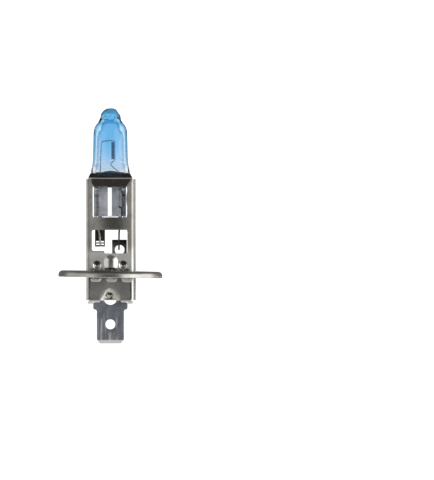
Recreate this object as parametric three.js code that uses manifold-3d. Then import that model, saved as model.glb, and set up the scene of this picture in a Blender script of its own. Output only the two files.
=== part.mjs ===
// Single-filament headlight bulb with a prefocus flange and one blade terminal.
// Millimetres, +Z towards the glass tip. The origin is the centre of the flange's glass-side face, the
// plane that seats in the lamp, and the sleeve's seam is on the +X side.
import * as THREE from "three";
import { mergeVertices } from "three/addons/utils/BufferGeometryUtils.js";
import Module from "manifold-3d";

// ---- driving dimensions ----
const GAP = 0.3; // clearance between neighbouring pieces

const SLEEVE = {
  halfWidth: 5.56, halfDepth: 4.1, sheet: 0.38, bend: 0.85, tightBend: 0.42, seamGap: 0.06,
  bottom: -6.9, top: 21.35, shoulder: 21.6,
};
const COLLAR = { halfBase: 5.1, halfTip: 4.45, top: 22.6, reach: 1.0 };
const WINDOW_CORNER = 0.35;
const UPPER_WINDOW = { left: -4.06, right: 3.94, bottom: 12.43, top: 19.65 };
const LOWER_WINDOW = {
  left: -4.25, right: 4.02, bottomLeft: 4.63, bottomRight: 4.04, top: 9.49, step: -1.43,
};
const REAR_MARGIN = 0.15; // how much larger the rear windows are
const PUNCH = { x: 3.02, z: 1.31, mouth: 1.15, floor: 0.7, depth: 0.75 };
const DOME = { x: 0.2, z: 2.0, halfWidth: 1.6, halfHeight: 1.72, rise: 0.5 };
const STAKE = { halfWidth: 2.3, height: 2.9, depth: 0.95 };

const FLANGE = { radius: 12.17, sheet: 0.6, rim: 1.5, edge: 1.0, flat: 11.2 };
const TONGUE = { width: 2.6, sheet: 0.5, bottom: -2.55, centres: [-3.3, 0.35, 4.0] };

const BULB = { pinchTop: 20.4, pinchBottom: 12.8, wall: 0.75 };
const PINCH = { halfWidth: 3.67, halfThick: 0.95, railThick: 1.3, railWidth: 0.75 };
const FILAMENT = { x: 0.68, bottom: 25.8, top: 30.2, coil: 0.42, wire: 0.11, turns: 9 };
const LEAD = { inner: 0.15, outer: 0.22 };
const FOIL = { bottom: 13.6, top: 20.0, thick: 0.15, left: [-3.18, -0.65], right: [0.25, 3.2] };
const LEFT_LEAD_X = -2.4;
const RIGHT_LEAD_X = 2.1;

const STRIP = {
  left: 0.4, right: 3.85, top: 7.24, bottom: -4.2, sheet: 0.4, front: -1.1,
  holeX: 2.17, holeZ: 4.86, hole: 1.12,
};
const GROUND_TAB = {
  left: -3.62, right: -1.26, bottom: 5.6, top: 11.9, sheet: 0.3, y: 0.6, slot: 0.3,
};
const SPRING = { sheet: 0.25, halfDepth: 1.4, bottom: 12.9, top: 20.5 };

const INSULATOR = {
  halfWidth: 4.88, footHalfWidth: 5.25, top: 3.5, corner: -7.73, shoulder: -7.34, arch: -6.85,
};
const BLADE = {
  thick: 0.8, halfWidth: 3.175, tip: -17.03, tipHalfWidth: 2.45, bevel: 0.85,
  shoulderHalfWidth: 4.02, shoulderTop: -7.4, shoulderBottom: -9.1, neckHalfWidth: 2.35, rootTop: -1.5,
  eyeZ: -6.45, eye: 1.54, holeZ: -12.55, hole: 1.15,
};

// ---- materials ----
const paint = (color, roughness, metalness, extra = {}) =>
  new THREE.MeshStandardMaterial({ color, roughness, metalness, ...extra });
const FINISH = {
  glass: () => paint(0x6fb4dc, 0.05, 0, { transparent: true, opacity: 0.35 }),
  plated: () => paint(0x8f8d88, 0.35, 1),
  blade: () => paint(0x6a6f76, 0.45, 1),
  dark: () => paint(0x4a4a48, 0.5, 1),
  molybdenum: () => paint(0x8a8e94, 0.4, 1),
  tungsten: () => paint(0x3c4a5c, 0.5, 1),
  ceramic: () => paint(0xb9b9b4, 0.7, 0),
};

// ---- solids ----
const wasm = await Module();
wasm.setup();

function solid(geometry) {
  const bare = geometry.index ? geometry.toNonIndexed() : geometry.clone();
  bare.deleteAttribute("normal");
  bare.deleteAttribute("uv");
  const merged = mergeVertices(bare, 1e-4);
  const triVerts = new Uint32Array(merged.index.array);
  return new wasm.Manifold(
    new wasm.Mesh({ numProp: 3, vertProperties: merged.attributes.position.array, triVerts }),
  );
}

function surface(body) {
  const { vertProperties, triVerts } = body.getMesh();
  const geometry = new THREE.BufferGeometry();
  geometry.setAttribute("position", new THREE.BufferAttribute(new Float32Array(vertProperties), 3));
  geometry.setIndex(new THREE.BufferAttribute(new Uint32Array(triVerts), 1));
  geometry.computeVertexNormals();
  return geometry;
}

const join = (...bodies) => bodies.reduce((a, b) => a.add(b));
const cut = (body, ...tools) => tools.reduce((a, b) => a.subtract(b), body);

function block([x0, x1], [y0, y1], [z0, z1]) {
  const box = new THREE.BoxGeometry(x1 - x0, y1 - y0, z1 - z0);
  return solid(box.translate((x0 + x1) / 2, (y0 + y1) / 2, (z0 + z1) / 2));
}

function ellipsoid(x, y, z, rx, ry, rz) {
  return solid(new THREE.SphereGeometry(1, 20, 10).scale(rx, ry, rz).translate(x, y, z));
}

// A round bar or cone along Y, with radius r0 at y0 and r1 at y1.
function roundAlongY(x, z, y0, y1, r0, r1 = r0) {
  return solid(new THREE.CylinderGeometry(r1, r0, y1 - y0, 24).translate(x, (y0 + y1) / 2, z));
}

// An outline in X and Z, extruded from y0 to y1.
function plate(shape, y0, y1) {
  const settings = { depth: y1 - y0, bevelEnabled: false, curveSegments: 8 };
  const geometry = new THREE.ExtrudeGeometry(shape, settings);
  return solid(geometry.rotateX(Math.PI / 2).translate(0, y1, 0));
}

// An outline in Y and Z, extruded from x0 to x1.
function slab(shape, x0, x1) {
  const settings = { depth: x1 - x0, bevelEnabled: false, curveSegments: 8 };
  const geometry = new THREE.ExtrudeGeometry(shape, settings);
  const axes = new THREE.Matrix4().makeBasis(
    new THREE.Vector3(0, 1, 0), new THREE.Vector3(0, 0, 1), new THREE.Vector3(1, 0, 0));
  return solid(geometry.applyMatrix4(axes).translate(x0, 0, 0));
}

// An outline in X and Y, extruded from z0 to z1.
function prism(shape, z0, z1) {
  const geometry = new THREE.ExtrudeGeometry(shape, { depth: z1 - z0, bevelEnabled: false });
  return solid(geometry.translate(0, 0, z0));
}

// A polygon whose corners [x, y, radius] are rounded by arcs. An open line keeps its two ends.
function rounded(corners, open = false, steps = 3) {
  const points = [];
  corners.forEach(([x, y, radius = 0], i) => {
    const corner = new THREE.Vector2(x, y);
    if (!radius || (open && (i === 0 || i === corners.length - 1))) {
      points.push(corner);
      return;
    }
    const towards = (j) => new THREE.Vector2(...corners[(j + corners.length) % corners.length]).sub(corner);
    const back = towards(i - 1).normalize();
    const ahead = towards(i + 1).normalize();
    const half = Math.acos(THREE.MathUtils.clamp(back.dot(ahead), -1, 1)) / 2;
    const centre = back.clone().add(ahead).normalize().multiplyScalar(radius / Math.sin(half)).add(corner);
    const from = back.clone().multiplyScalar(radius / Math.tan(half)).add(corner).sub(centre);
    const to = ahead.clone().multiplyScalar(radius / Math.tan(half)).add(corner).sub(centre);
    const turn = Math.atan2(from.cross(to), from.dot(to));
    for (let k = 0; k <= steps; k++)
      points.push(from.clone().rotateAround(new THREE.Vector2(), (turn * k) / steps).add(centre));
  });
  return points;
}

// The outline of a sheet of one thickness whose middle follows a line.
function ribbon(line, thickness) {
  const side = (sign) =>
    line.map((point, i) => {
      const before = point.clone().sub(line[Math.max(i - 1, 0)]);
      const after = line[Math.min(i + 1, line.length - 1)].clone().sub(point);
      if (i === 0) before.copy(after);
      if (i === line.length - 1) after.copy(before);
      before.normalize();
      after.normalize();
      const across = before.clone().add(after).normalize();
      const reach = (sign * thickness) / 2 / across.dot(after);
      return new THREE.Vector2(point.x - across.y * reach, point.y + across.x * reach);
    });
  return new THREE.Shape([...side(-1), ...side(1).reverse()]);
}

const rectangle = (x0, x1, z0, z1, radius) =>
  new THREE.Shape(rounded([[x0, z0, radius], [x1, z0, radius], [x1, z1, radius], [x0, z1, radius]]));

// A wire of round section along a smooth curve through the points.
function wire(points, radius, steps, sides = 6) {
  const path = new THREE.CatmullRomCurve3(points.map((p) => new THREE.Vector3(...p)), false, "chordal");
  const section = new THREE.Shape().absarc(0, 0, radius, 0, 2 * Math.PI);
  return new THREE.ExtrudeGeometry(section, {
    steps, extrudePath: path, curveSegments: sides / 2, bevelEnabled: false,
  });
}

// A closed skin over cross-sections at rising heights. Each has half widths in X and Y, and a squareness of 2
// for an ellipse and more for a rounded rectangle.
function loft(sections, sides = 28) {
  const positions = [];
  const index = [];
  for (const { z, x, y, square = 2 } of sections)
    for (let i = 0; i < sides; i++) {
      const angle = (2 * Math.PI * i) / sides;
      const round = (value) => Math.sign(value) * Math.abs(value) ** (2 / square);
      positions.push(x * round(Math.cos(angle)), y * round(Math.sin(angle)), z);
    }
  for (let ring = 0; ring + 1 < sections.length; ring++)
    for (let i = 0; i < sides; i++) {
      const [a, b] = [ring * sides + i, ring * sides + ((i + 1) % sides)];
      index.push(a, b, b + sides, a, b + sides, a + sides);
    }
  const [bottom, top] = [positions.length / 3, positions.length / 3 + 1];
  const last = (sections.length - 1) * sides;
  positions.push(0, 0, sections[0].z, 0, 0, sections.at(-1).z);
  for (let i = 0; i < sides; i++) {
    const next = (i + 1) % sides;
    index.push(bottom, next, i, top, last + i, last + next);
  }
  const geometry = new THREE.BufferGeometry();
  geometry.setAttribute("position", new THREE.Float32BufferAttribute(positions, 3));
  geometry.setIndex(index);
  return solid(geometry);
}

const mirrorY = (body) => body.mirror([0, 1, 0]);

// ---- glass and what is inside it ----

// Round bulb with a bumped exhaust tip, flattening downwards into the pinch.
function outerSections() {
  const profile = new THREE.SplineCurve([
    [4.62, 22.4], [4.42, 23.7], [4.14, 25.4], [4.03, 28.0], [3.96, 31.0], [3.85, 32.9],
    [3.4, 33.95], [2.72, 34.75], [2.34, 35.6], [2.08, 36.5], [1.5, 37.4], [0.5, 37.93],
  ].map(([x, z]) => new THREE.Vector2(x, z)));
  const flattening = (z) => 1 - 0.42 * THREE.MathUtils.smoothstep(-z, -25.5, -22.4);
  const bulb = profile.getSpacedPoints(20).map(({ x, y: z }) => ({ z, x, y: x * flattening(z) }));
  const pinch = [
    { z: BULB.pinchBottom, x: PINCH.halfWidth - 0.15, y: PINCH.halfThick, square: 9 },
    { z: BULB.pinchBottom + 0.3, x: PINCH.halfWidth, y: PINCH.halfThick, square: 9 },
    { z: 19.6, x: PINCH.halfWidth, y: PINCH.halfThick, square: 9 },
    { z: BULB.pinchTop, x: 3.95, y: 1.25, square: 5 },
    { z: 21.5, x: 4.45, y: 2.0, square: 3 },
  ];
  return [...pinch, ...bulb];
}

function innerSections() {
  const profile = new THREE.SplineCurve([
    [0.4, 22.7], [2.2, 23.1], [3.1, 24.3], [3.28, 26.5], [3.2, 31.2], [2.95, 32.4],
    [2.4, 33.3], [1.7, 34.3], [0.9, 35.1], [0.3, 35.3],
  ].map(([x, z]) => new THREE.Vector2(x, z)));
  const flattening = (z) => 1 - 0.38 * THREE.MathUtils.smoothstep(-z, -25.5, -22.7);
  return profile.getSpacedPoints(16).map(({ x, y: z }) => ({ z, x, y: x * flattening(z) }));
}

// The stiffening rail along one side of the pinch.
function pinchRail(side) {
  const { halfWidth, railWidth, railThick } = PINCH;
  const span = side < 0 ? [-halfWidth, -halfWidth + railWidth] : [halfWidth - railWidth, halfWidth];
  return block(span, [-railThick, railThick], [BULB.pinchBottom, BULB.pinchTop]);
}

// The pocket of one foil and the channels of its two leads.
function sealPocket(leadX, [left, right]) {
  const reach = FOIL.thick / 2 + GAP;
  return [
    block([left - 0.2, right + 0.2], [-reach, reach], [FOIL.bottom - GAP, FOIL.top + GAP]),
    block([leadX - 0.5, leadX + 0.5], [-0.45, 0.45], [FOIL.top, 24]),
    block([leadX - 0.52, leadX + 0.52], [-0.52, 0.52], [BULB.pinchBottom - 1, FOIL.bottom]),
  ];
}

function glassEnvelope() {
  const outside = join(loft(outerSections(), 32), pinchRail(-1), pinchRail(1));
  const pockets = [...sealPocket(LEFT_LEAD_X, FOIL.left), ...sealPocket(RIGHT_LEAD_X, FOIL.right)];
  return surface(cut(outside, loft(innerSections(), 24), ...pockets));
}

function filament() {
  const { x, bottom, top, coil, wire: thick, turns } = FILAMENT;
  class Helix extends THREE.Curve {
    getPoint(t, target = new THREE.Vector3()) {
      const angle = 2 * Math.PI * turns * t;
      return target.set(x + coil * Math.cos(angle), coil * Math.sin(angle), bottom + (top - bottom) * t);
    }
  }
  const section = new THREE.Shape().absarc(0, 0, thick, 0, 2 * Math.PI);
  return new THREE.ExtrudeGeometry(section, {
    steps: turns * 10, extrudePath: new Helix(), curveSegments: 3, bevelEnabled: false,
  });
}

const longLead = () =>
  wire([
    [LEFT_LEAD_X, 0, FOIL.top + GAP], [LEFT_LEAD_X, 0, 24], [-2.3, 0, 26], [-2.17, 0, 29.2],
    [-2.0, 0, 29.95], [-1.3, 0, 30.3], [-0.2, 0, 30.38],
  ], LEAD.inner, 22);

const shortLead = () =>
  wire([
    [RIGHT_LEAD_X, 0, FOIL.top + GAP], [RIGHT_LEAD_X, 0, 22.6], [1.5, 0, 23.5], [0.35, 0, 24.5],
    [0.15, 0, 24.95], [0.55, 0, 25.25],
  ], LEAD.inner, 20);

const foil = ([left, right]) =>
  surface(block([left, right], [-FOIL.thick / 2, FOIL.thick / 2], [FOIL.bottom, FOIL.top]));

// ---- wiring below the pinch ----

const groundLead = () =>
  wire([
    [LEFT_LEAD_X, 0, FOIL.bottom - GAP], [LEFT_LEAD_X, 0, 12.2], [-2.75, -0.05, 11.0],
    [-2.72, -0.15, 9.7], [-2.5, -0.2, 8.3],
  ], LEAD.outer, 18);

// The bead and flattened slug that weld the earthed lead to its tab.
function groundSlug() {
  const y = -0.2;
  const bead = ellipsoid(-2.34, y, 7.5, 0.36, 0.32, 0.4);
  const slug = solid(wire([[-2.36, y, 7.5], [-2.3, y, 6.6], [-2.2, y, 5.75]], 0.28, 4, 8));
  return surface(join(bead, slug));
}

const liveLead = () =>
  wire([
    [RIGHT_LEAD_X, 0, FOIL.bottom - GAP], [RIGHT_LEAD_X, 0, 12.2], [2.1, -0.8, 10.8],
    [2.05, -1.62, 9.2], [2.03, -1.64, 7.0], [2.03, -1.64, 4.8],
  ], LEAD.outer, 20);

// Earthed strip: welded inside the rear wall's middle band and set forward to the lead, with two cross
// slots in its free end.
function groundTab() {
  const { left, right, bottom, top, sheet, y, slot } = GROUND_TAB;
  const wallY = SLEEVE.halfDepth - SLEEVE.sheet - GAP - sheet / 2;
  const line = rounded([[wallY, top], [wallY, 11.0, 0.4], [y, 9.9, 0.4], [y, bottom]], true);
  const strip = slab(ribbon(line, sheet), left, right);
  const slots = [6.6, 6.0].map((z) => block([left + 0.25, right - 0.25], [y - 1, y + 1], [z, z + slot]));
  return surface(cut(strip, ...slots));
}

// Live strip: a lip bent back at the top, a weld hole, and a tail down between the insulator halves.
function contactStrip() {
  const { left, right, top, bottom, sheet, front, holeX, holeZ, hole } = STRIP;
  const y = front + sheet / 2;
  const line = rounded([[y + 0.9, top - 0.2], [y, top - 0.2, 0.6], [y, bottom]], true);
  const strip = slab(ribbon(line, sheet), left, right);
  return surface(cut(strip, roundAlongY(holeX, holeZ, y - 1, y + 1, hole)));
}

// Bowed strip that centres the pinch between the sleeve's side walls.
function pinchSpring(side, bow) {
  const wallX = SLEEVE.halfWidth - SLEEVE.sheet - GAP - SPRING.sheet / 2;
  const curve = new THREE.QuadraticBezierCurve(
    new THREE.Vector2(side * wallX, SPRING.bottom),
    new THREE.Vector2(side * (2 * bow - wallX), (SPRING.bottom + SPRING.top) / 2),
    new THREE.Vector2(side * wallX, SPRING.top));
  return surface(plate(ribbon(curve.getPoints(8), SPRING.sheet), -SPRING.halfDepth, SPRING.halfDepth));
}

// ---- sleeve ----

// Sheet wound once round the box, its free end lapping outside the +X wall.
function sleeveWrap() {
  const { halfWidth, halfDepth, sheet, bend, tightBend, seamGap, bottom, top } = SLEEVE;
  const [x, y] = [halfWidth - sheet / 2, halfDepth - sheet / 2];
  const lap = halfWidth + seamGap + sheet / 2;
  const line = rounded([
    [x, y - 1.1], [x, -y, bend], [-x, -y, tightBend], [-x, y, bend], [lap, y, bend], [lap, -y + 0.9],
  ], true);
  return prism(ribbon(line, sheet), bottom, top);
}

// Mitred tab at the top of the front wall, leaning in over the shoulder of the glass.
function collarTab() {
  const { halfDepth, sheet, shoulder, top } = SLEEVE;
  const y = -halfDepth + sheet / 2;
  const line = rounded([[y, top - 0.5], [y, shoulder, 0.2], [y + COLLAR.reach, COLLAR.top]], true);
  const outline = new THREE.Shape([
    [-COLLAR.halfBase, top - 1], [COLLAR.halfBase, top - 1], [COLLAR.halfBase, shoulder],
    [COLLAR.halfTip, COLLAR.top + 0.5], [-COLLAR.halfTip, COLLAR.top + 0.5], [-COLLAR.halfBase, shoulder],
  ].map(([px, pz]) => new THREE.Vector2(px, pz)));
  return slab(ribbon(line, sheet), -6, 6).intersect(plate(outline, -halfDepth - 1, 0));
}

// Tools for the two windows of one wall, each grown by a margin on all sides.
function windowTools(margin, y0, y1) {
  const r = WINDOW_CORNER;
  const upper = rectangle(
    UPPER_WINDOW.left - margin, UPPER_WINDOW.right + margin,
    UPPER_WINDOW.bottom - margin, UPPER_WINDOW.top + margin, r);
  const { step } = LOWER_WINDOW;
  const [left, right] = [LOWER_WINDOW.left - margin, LOWER_WINDOW.right + margin];
  const top = LOWER_WINDOW.top + margin;
  const [bottomLeft, bottomRight] = [LOWER_WINDOW.bottomLeft - margin, LOWER_WINDOW.bottomRight - margin];
  const lower = new THREE.Shape(rounded([
    [left, bottomLeft, r], [step, bottomLeft, r / 2], [step, bottomRight, r / 2],
    [right, bottomRight, r], [right, top, r], [left, top, r],
  ]));
  return [plate(upper, y0, y1), plate(lower, y0, y1)];
}

// What a wall's pressed features add to the front wall and cut from it.
function pressings() {
  const { halfDepth, sheet, bottom } = SLEEVE;
  const [outer, inner] = [-halfDepth, -halfDepth + sheet];
  const adds = [];
  const cuts = [];
  for (const x of [-PUNCH.x, PUNCH.x]) {
    const floor = outer + PUNCH.depth;
    adds.push(roundAlongY(x, PUNCH.z, inner - 0.1, floor + sheet, PUNCH.mouth + 0.2, PUNCH.floor + 0.3));
    cuts.push(roundAlongY(x, PUNCH.z, outer - 0.01, floor, PUNCH.mouth, PUNCH.floor));
  }
  adds.push(ellipsoid(DOME.x, outer, DOME.z, DOME.halfWidth, DOME.rise, DOME.halfHeight));
  const stake = (grow) =>
    ellipsoid(0, outer, bottom, STAKE.halfWidth + grow, STAKE.depth + grow, STAKE.height + grow);
  adds.push(stake(0.3).intersect(block([-4, 4], [inner - 0.1, 0], [bottom, 0])));
  cuts.push(stake(0));
  return { adds, cuts };
}

function sleeve() {
  const { halfDepth } = SLEEVE;
  const { adds, cuts } = pressings();
  const tab = collarTab();
  let body = join(sleeveWrap(), tab, mirrorY(tab), ...adds, ...adds.map(mirrorY));
  body = cut(body, ...cuts, ...cuts.map(mirrorY));
  body = cut(body, ...windowTools(0, -halfDepth - 2, -halfDepth + 1));
  return surface(cut(body, ...windowTools(REAR_MARGIN, halfDepth - 1, halfDepth + 2)));
}

// ---- insulator, flange and blade ----

function insulatorHalf(front) {
  const { halfWidth, footHalfWidth, top, corner, shoulder, arch } = INSULATOR;
  const faceY = -SLEEVE.halfDepth + SLEEVE.sheet + GAP;
  const rest = SLEEVE.bottom - GAP;
  const outline = new THREE.Shape([
    [-halfWidth, top], [-halfWidth, rest], [-footHalfWidth, rest], [-footHalfWidth, corner],
    [-4.05, corner], [-4.05, shoulder], [-2.75, shoulder], [-2.2, arch],
    [2.2, arch], [2.75, shoulder], [4.05, shoulder], [4.05, corner],
    [footHalfWidth, corner], [footHalfWidth, rest], [halfWidth, rest], [halfWidth, top],
  ].map(([x, z]) => new THREE.Vector2(x, z)));
  const innerY = -BLADE.thick / 2 - GAP;
  let body = plate(outline, faceY, innerY);
  for (const side of [-1, 1]) {
    const [near, far] = [BLADE.neckHalfWidth + GAP, halfWidth];
    const rib = [side * near, side * far].sort((a, b) => a - b);
    body = join(body, block(rib, [innerY - 0.1, -GAP / 2], [BLADE.shoulderTop + GAP, top]));
  }
  const stakeNotch = ellipsoid(0, -SLEEVE.halfDepth, SLEEVE.bottom,
    STAKE.halfWidth + 0.7, STAKE.depth + 0.65, STAKE.height + 0.7);
  body = cut(body, stakeNotch);
  const pocketY = -SLEEVE.halfDepth + PUNCH.depth + SLEEVE.sheet + GAP;
  for (const x of [-PUNCH.x, PUNCH.x])
    body = cut(body, roundAlongY(x, PUNCH.z, faceY - 1, pocketY, PUNCH.mouth + 0.45));
  if (front)
    body = cut(body, block([STRIP.left - GAP, STRIP.right + GAP],
      [STRIP.front - GAP, 0], [STRIP.bottom - GAP, top + 1]));
  else body = mirrorY(body);
  return surface(body);
}

function flange() {
  const { radius, sheet, rim, edge, flat } = FLANGE;
  const skirt = sheet * 0.9;
  const section = rounded([
    [3, 0], [radius, 0, edge], [radius, -rim, 0.12], [radius - skirt, -rim, 0.12],
    [radius - skirt, -sheet, 0.3], [3, -sheet],
  ]);
  const profile = [...section, section[0]].reverse();
  const disc = solid(new THREE.LatheGeometry(profile, 72).rotateX(Math.PI / 2));
  const keyed = cut(disc, block([-20, 20], [flat, 20], [-5, 5]));
  const lap = SLEEVE.halfWidth + SLEEVE.seamGap + SLEEVE.sheet;
  const reach = SLEEVE.halfDepth + GAP;
  const opening = rectangle(-SLEEVE.halfWidth - GAP, lap + GAP, -reach, reach, 0.8);
  let body = cut(keyed, prism(opening, -5, 5));
  const y = -SLEEVE.halfDepth - GAP - TONGUE.sheet / 2;
  const start = -TONGUE.sheet / 2 - 0.05;
  const line = rounded([[y - 1.4, start], [y, start, 0.4], [y, TONGUE.bottom]], true);
  for (const centre of TONGUE.centres) {
    const tongue = slab(ribbon(line, TONGUE.sheet), centre - TONGUE.width / 2, centre + TONGUE.width / 2);
    body = join(body, tongue, mirrorY(tongue));
  }
  return surface(body);
}

function terminalBlade() {
  const b = BLADE;
  const right = [
    [b.tipHalfWidth, b.tip], [b.halfWidth, b.tip + 0.95], [b.halfWidth, b.shoulderBottom, 0.5],
    [b.shoulderHalfWidth, b.shoulderBottom, 0.4], [b.shoulderHalfWidth, b.shoulderTop, 0.45],
    [b.neckHalfWidth, b.shoulderTop, 0.5], [b.neckHalfWidth, b.rootTop, 0.4],
  ];
  const left = right.map(([x, z, r]) => [-x, z, r]).reverse();
  const outline = new THREE.Shape(rounded([...right, ...left]));
  for (const [z, r] of [[b.eyeZ, b.eye], [b.holeZ, b.hole]])
    outline.holes.push(new THREE.Path().absarc(0, z, r, 0, 2 * Math.PI));
  let body = plate(outline, -b.thick / 2, b.thick / 2);
  // The tip is coined to about half its thickness on both faces.
  const wedge = new THREE.Shape([
    [b.thick / 2, b.tip + b.bevel], [b.thick / 2 + 1, b.tip + b.bevel], [b.thick / 2 + 1, b.tip - 1],
    [b.thick / 4, b.tip - 0.01],
  ].map(([py, pz]) => new THREE.Vector2(py, pz)));
  const bevel = slab(wedge, -6, 6);
  body = cut(body, bevel, mirrorY(bevel));
  return surface(body);
}

// ---- assembly ----
const bulb = new THREE.Group();
const add = (name, geometry, finish) => {
  const mesh = new THREE.Mesh(geometry, FINISH[finish]());
  mesh.name = name;
  bulb.add(mesh);
};

add("glass_envelope", glassEnvelope(), "glass");
add("filament", filament(), "tungsten");
add("inner_lead_long", longLead(), "molybdenum");
add("inner_lead_short", shortLead(), "molybdenum");
add("foil_left", foil(FOIL.left), "molybdenum");
add("foil_right", foil(FOIL.right), "molybdenum");
add("outer_lead_ground", groundLead(), "molybdenum");
add("outer_lead_live", liveLead(), "molybdenum");
add("ground_weld_slug", groundSlug(), "plated");
add("ground_tab", groundTab(), "dark");
add("contact_strip", contactStrip(), "dark");
add("pinch_spring_left", pinchSpring(-1, 4.5), "dark");
add("pinch_spring_right", pinchSpring(1, 4.13), "dark");
add("sleeve", sleeve(), "plated");
add("insulator_front", insulatorHalf(true), "ceramic");
add("insulator_rear", insulatorHalf(false), "ceramic");
add("flange", flange(), "plated");
add("terminal_blade", terminalBlade(), "blade");

export default bulb;
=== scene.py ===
import math

import bmesh
import bpy
from mathutils import Matrix, Vector, noise


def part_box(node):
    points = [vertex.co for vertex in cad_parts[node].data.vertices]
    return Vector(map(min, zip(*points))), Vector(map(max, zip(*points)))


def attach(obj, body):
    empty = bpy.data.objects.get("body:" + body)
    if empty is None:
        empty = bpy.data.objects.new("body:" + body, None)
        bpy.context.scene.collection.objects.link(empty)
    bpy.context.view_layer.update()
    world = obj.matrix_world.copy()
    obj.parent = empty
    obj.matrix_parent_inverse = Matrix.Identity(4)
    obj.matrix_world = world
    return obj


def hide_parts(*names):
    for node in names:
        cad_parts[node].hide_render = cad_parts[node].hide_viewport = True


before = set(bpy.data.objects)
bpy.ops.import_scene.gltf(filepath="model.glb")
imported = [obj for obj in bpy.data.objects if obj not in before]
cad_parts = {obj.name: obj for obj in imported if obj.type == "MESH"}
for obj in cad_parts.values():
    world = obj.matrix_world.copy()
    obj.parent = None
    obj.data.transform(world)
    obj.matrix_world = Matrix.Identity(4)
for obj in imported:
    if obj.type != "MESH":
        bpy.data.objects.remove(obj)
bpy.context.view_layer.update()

BODY = "root"
MM = 0.001
NODE_BOX = {name: tuple(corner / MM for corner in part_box(name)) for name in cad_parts}  # millimetres

# ---- sizes that the frame's boxes don't give, in millimetres ----
SHEET = 0.38
SEAM_GAP = 0.06
BEND, FRONT_RIGHT_BEND, TIGHT_BEND = 0.85, 0.55, 0.42
COLLAR_BASE, COLLAR_TIP, COLLAR_REACH = 5.1, 4.45, 1.0
SHOULDER_BELOW_TOP = 1.25
WINDOW_CORNER, REAR_MARGIN = 0.4, 0.15
UPPER_LEFT, UPPER_RIGHT, UPPER_BOTTOM, UPPER_TOP = -4.06, 3.94, 12.43, 19.65
LOWER_LEFT, LOWER_RIGHT, LOWER_TOP, LOWER_STEP, LOWER_FOOT_LEFT, LOWER_FOOT_RIGHT = -4.25, 4.02, 9.49, -1.43, 4.63, 4.04
PUNCHES = ((-3.02, 1.31), (3.02, 1.31), (-0.15, -5.8))
PUNCH_MOUTH, PUNCH_FLOOR, PUNCH_DEPTH = 1.06, 0.45, 0.46
RIDGE_X, RIDGE_TOP, RIDGE_BOTTOM, RIDGE_HALF, RIDGE_RISE = 0.17, 3.65, 0.15, 1.55, 0.62
STAKE_TOP, STAKE_HALF, STAKE_DEPTH = -4.1, 2.35, 0.85
PANEL_LEFT, PANEL_RIGHT, PANEL_TOP, PANEL_BOTTOM, PANEL_DEPTH = -4.75, 4.85, -1.2, -6.5, 0.12
FLANGE_SHEET, FLANGE_EDGE, FLANGE_TILT = 0.6, 0.95, 0.9
TONGUE_WIDTH, TONGUE_SHEET, TONGUE_CENTRES = 2.6, 0.46, (-3.3, 0.35, 4.0)
OPENING_GAP = 0.3
EYE_Z, EYE, HOLE_Z, HOLE = -6.45, 1.54, -12.55, 1.15
STRIP_HOLE_X, STRIP_HOLE_Z, STRIP_HOLE = 2.17, 4.86, 1.12


# ---- meshes ----
def new_mesh(name, vertices, faces):
    mesh = bpy.data.meshes.new(name)
    mesh.from_pydata([Vector(v) * MM for v in vertices], [], faces)
    mesh.validate()
    return mesh


def as_object(mesh, name="scratch"):
    made = bpy.data.objects.new(name, mesh)
    bpy.context.scene.collection.objects.link(made)
    return made


def baked(source):
    """The mesh of an object with its modifiers applied. The object is removed."""
    bpy.context.view_layer.update()
    depsgraph = bpy.context.evaluated_depsgraph_get()
    mesh = bpy.data.meshes.new_from_object(source.evaluated_get(depsgraph))
    bpy.data.objects.remove(source)
    return mesh


def combined(mesh, other, operation):
    """A boolean of two closed meshes."""
    base, tool = as_object(mesh), as_object(other)
    modifier = base.modifiers.new("boolean", "BOOLEAN")
    modifier.operation, modifier.solver, modifier.object = operation, "EXACT", tool
    mesh = baked(base)
    bpy.data.objects.remove(tool)
    return mesh


def bevelled(mesh, width, segments=2, angle=35):
    base = as_object(mesh)
    modifier = base.modifiers.new("bevel", "BEVEL")
    modifier.width, modifier.segments, modifier.limit_method = width * MM, segments, "ANGLE"
    modifier.angle_limit = math.radians(angle)
    modifier.use_clamp_overlap = True
    return baked(base)


def piece(name, mesh, material, slot, *nodes):
    """A finished piece: smooth shaded up to its sharp edges, riding on the body and standing for its CAD nodes."""
    mesh.shade_smooth()
    mesh.set_sharp_from_angle(angle=math.radians(38))
    mesh.materials.clear()
    mesh.materials.append(material)
    made = as_object(mesh, name)
    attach(made, BODY)
    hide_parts(*nodes)
    return made


def lathe(profile, sides):
    """A closed surface of revolution round Z. The profile is (radius, z) and closes on itself."""
    vertices = [
        (r * math.cos(2 * math.pi * i / sides), r * math.sin(2 * math.pi * i / sides), z)
        for r, z in profile for i in range(sides)
    ]
    faces = []
    for ring in range(len(profile)):
        after = (ring + 1) % len(profile)
        for i in range(sides):
            j = (i + 1) % sides
            faces.append((ring * sides + i, ring * sides + j, after * sides + j, after * sides + i))
    return new_mesh("lathe", vertices, faces)


def skin(rings, flip=False):
    """A closed surface through rings of equally many points, with a fan at each end."""
    sides = len(rings[0])
    vertices = [p for ring in rings for p in ring]
    faces = []
    for k in range(len(rings) - 1):
        for i in range(sides):
            j = (i + 1) % sides
            faces.append((k * sides + i, k * sides + j, (k + 1) * sides + j, (k + 1) * sides + i))
    for ring, start in ((rings[0], 0), (rings[-1], (len(rings) - 1) * sides)):
        centre = len(vertices)
        vertices.append(sum((Vector(p) for p in ring), Vector()) / sides)
        for i in range(sides):
            j = (i + 1) % sides
            faces.append((centre, start + j, start + i) if start == 0 else (centre, start + i, start + j))
    if flip:
        faces = [tuple(reversed(f)) for f in faces]
    return vertices, faces


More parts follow.
